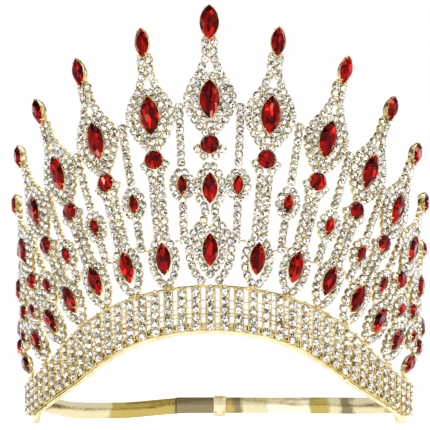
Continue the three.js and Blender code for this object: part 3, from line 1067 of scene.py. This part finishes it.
def painted_reflection_gilt(name):
    """The spring band's gilt, with painted reflections: broad cream, golden and dark patches in its base
    colour, placed across the band, for the light and shade its polish mirrors.
    """
    material, nodes, links, shader = new_material(name)
    place = nodes.new("ShaderNodeTexCoord").outputs["Object"]
    across = nodes.new("ShaderNodeSeparateXYZ")
    links.new(place, across.inputs["Vector"])
    ragged = nodes.new("ShaderNodeMath")
    ragged.operation = "MULTIPLY_ADD"
    ragged.inputs[1].default_value = PATCH_RAGGED * MM
    links.new(noise(nodes, links, place, 160.0, 3.0), ragged.inputs[0])
    links.new(across.outputs["X"], ragged.inputs[2])
    spread = nodes.new("ShaderNodeMapRange")
    spread.inputs["From Min"].default_value = (PATCH_RAGGED / 2 - STRIP_HALF_SPAN) * MM
    spread.inputs["From Max"].default_value = (PATCH_RAGGED / 2 + STRIP_HALF_SPAN) * MM
    links.new(ragged.outputs["Value"], spread.inputs["Value"])
    links.new(ramp(nodes, links, spread.outputs["Result"], painted_reflection_stops()), shader.inputs["Base Color"])
    worn(nodes, links, shader, place, 700.0, 0.08, 0.2)
    shader.inputs["Metallic"].default_value = 1.0
    return material


CHAIN_GOLD = gilt("gilt_chain", (0.74, 0.63, 0.34), (0.53, 0.4, 0.15), (0.12, 0.3), 0.12)
STRIP_GOLD = gilt("gilt_strip", (0.74, 0.68, 0.46), (0.62, 0.54, 0.3), (0.08, 0.18), 0.03)
# The spring band's gilt, with painted reflections in its base colour
SPRING_GOLD_PAINTED_REFLECTIONS = painted_reflection_gilt("gilt_spring_painted_reflections")
# Painted reflections in the clear stones: each facet cell near-black to white
CLEAR_PAINTED_REFLECTION_TONES = (
    (0.0, (0.06, 0.06, 0.06)),
    (0.1, (0.32, 0.32, 0.32)),
    (0.3, (0.56, 0.56, 0.56)),
    (0.52, (0.8, 0.8, 0.79)),
    (0.8, (0.98, 0.97, 0.98)),
)
# The red stones' own red, with painted reflections: dark maroon cells for reflected shade, bright
# pinkish-red cells for reflected light
RED_AND_PAINTED_REFLECTION_TONES = (
    (0.0, (0.045, 0.0, 0.0)),
    (0.26, (0.14, 0.0, 0.0)),
    (0.5, (0.27, 0.001, 0.001)),
    (0.78, (0.5, 0.006, 0.002)),
    (0.97, (0.6, 0.13, 0.1)),
)
CLEAR = foiled_painted_facets("clear_crystal", CLEAR_PAINTED_REFLECTION_TONES, cell=0.6, scatter=0.72, metallic=1.0, stretch=1.0, coat=0.6)
RED = foiled_painted_facets("red_glass", RED_AND_PAINTED_REFLECTION_TONES, cell=1.15, scatter=0.6, metallic=0.95, stretch=2.2, coat=0.1)


# ---- pieces ----


SMOOTH = math.radians(38)


def finish_piece(batch, name, material, body="crown_front", smooth_angle=None, nodes=()):
    """A batch as one named piece, riding a body and standing for its nodes."""
    piece = batch.build(name, material, smooth_angle)
    if nodes:
        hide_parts(*nodes)
    if body:
        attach(piece, body)
    return piece


def finish_spire(parts, tag, stone_names):
    metal, stones, gems = parts
    frame_nodes = ["frame_" + tag]
    stone_nodes = [name + "_" + tag for name in stone_names]
    finish_piece(metal, "settings_" + tag, CHAIN_GOLD, smooth_angle=SMOOTH, nodes=frame_nodes)
    finish_piece(stones, "crystals_" + tag, CLEAR)
    finish_piece(gems, "red_stones_" + tag, RED, nodes=stone_nodes)


finish_spire(centre_spire(), "center", ["top_stone", "leaf_stone", "mid_stone", "low_stone"])
for side, side_name in ((-1, "left"), (1, "right")):
    for index in range(1, SPIRES_PER_SIDE + 1):
        finish_spire(side_spire(index, side), side_name + "_" + str(index), ["top_stone", "leaf_stone"])

band_metal, band_stones = base_band()
finish_piece(band_metal, "band_settings", CHAIN_GOLD, smooth_angle=SMOOTH, nodes=["base_band"])
finish_piece(band_stones, "band_crystals", CLEAR)
strip = arched_strip()
finish_piece(strip, "polished_strip", STRIP_GOLD, smooth_angle=SMOOTH, nodes=["arched_strip"])

OUTER_SPRING = SPRING_HINGE + (SPRING_THICK + SLIDE_GAP) / 2
INNER_SPRING = SPRING_HINGE - (SPRING_THICK + SLIDE_GAP) / 2
for side, side_name, radius, reach, bottom_at in (
    (-1, "left", OUTER_SPRING, LEFT_REACH, left_bottom),
    (1, "right", INNER_SPRING, RIGHT_REACH, right_bottom),
):
    strip = finish_piece(
        spring_half(side, radius, reach, bottom_at),
        "spring_strip_" + side_name,
        SPRING_GOLD_PAINTED_REFLECTIONS,
        body=None,
        smooth_angle=SMOOTH,
        nodes=["side_band_" + side_name, "back_band_" + side_name],
    )
    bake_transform(strip)
finish_piece(
    keeper(OUTER_SPRING, INNER_SPRING),
    "keeper_sleeve",
    STRIP_GOLD,
    body="left_spring",
    smooth_angle=SMOOTH,
    nodes=["band_keeper"],
)


# ---- studio ----


FLOOR_HALF = 30.0
SOFTBOX_TONES = [
    (0.0, grey(0.04)),
    (0.2, grey(0.25)),
    (0.42, grey(0.7)),
    (0.68, grey(1.2)),
    (0.9, grey(4.0)),
]
HORIZON_BAND = (0.24, 0.28)


def studio_floor():
    """A wide white table that gives off a little light, so that it stays pale all over."""
    mesh = bpy.data.meshes.new("floor")
    corners = [(x * FLOOR_HALF, y * FLOOR_HALF, 0) for x, y in ((-1, -1), (1, -1), (1, 1), (-1, 1))]
    mesh.from_pydata(corners, [], [(0, 1, 2, 3)])
    floor = bpy.data.objects.new("floor", mesh)
    bpy.context.scene.collection.objects.link(floor)
    material, _, _, shader = new_material("floor_white")
    shader.inputs["Base Color"].default_value = (0.9, 0.9, 0.9, 1.0)
    shader.inputs["Roughness"].default_value = 0.9
    shader.inputs["Emission Color"].default_value = (1.0, 1.0, 1.0, 1.0)
    shader.inputs["Emission Strength"].default_value = 0.62
    mesh.materials.append(material)


def studio_world():
    """White all round near the horizon, and softboxes with dark gaps between them above."""
    world = bpy.data.worlds.new("studio")
    bpy.context.scene.world = world
    world.use_nodes = True
    nodes, links = world.node_tree.nodes, world.node_tree.links
    direction = nodes.new("ShaderNodeTexCoord").outputs["Generated"]
    split = nodes.new("ShaderNodeSeparateXYZ")
    links.new(direction, split.inputs["Vector"])
    panels = nodes.new("ShaderNodeTexVoronoi")
    panels.inputs["Scale"].default_value = 3.2
    links.new(direction, panels.inputs["Vector"])
    pick = nodes.new("ShaderNodeSeparateColor")
    links.new(panels.outputs["Color"], pick.inputs["Color"])
    boxes = ramp(nodes, links, pick.outputs["Red"], SOFTBOX_TONES, constant=True)
    above = nodes.new("ShaderNodeMapRange")
    above.inputs["From Min"].default_value = HORIZON_BAND[0]
    above.inputs["From Max"].default_value = HORIZON_BAND[1]
    links.new(split.outputs["Z"], above.inputs["Value"])
    mix = nodes.new("ShaderNodeMix")
    mix.data_type = "RGBA"
    links.new(above.outputs["Result"], mix.inputs["Factor"])
    mix.inputs[6].default_value = (1.0, 1.0, 1.0, 1.0)
    links.new(boxes, mix.inputs[7])
    links.new(mix.outputs[2], nodes["Background"].inputs["Color"])


def studio_camera():
    """Low over the table, a little to the right of the front, looking slightly up."""
    distance, height, aside = 730.6, 14.0, 2.4
    yaw, pitch = math.radians(2.6), math.radians(5.6)
    data = bpy.data.cameras.new("camera")
    data.lens = 147.6
    data.sensor_width = 36.0
    camera = bpy.data.objects.new("camera", data)
    bpy.context.scene.collection.objects.link(camera)
    place = np.array([distance * math.sin(yaw), AXIS_Y - distance * math.cos(yaw), height]) * MM
    right = np.array([math.cos(yaw), math.sin(yaw), 0.0])
    target = np.array([0.0, AXIS_Y, height + distance * math.tan(pitch)]) * MM - aside * MM * right
    camera.location = place
    camera.rotation_euler = Vector(target - place).to_track_quat("-Z", "Y").to_euler()
    bpy.context.scene.camera = camera


studio_floor()
studio_world()
studio_camera()
bpy.context.scene.view_settings.view_transform = "Standard"

bpy.context.view_layer.update()
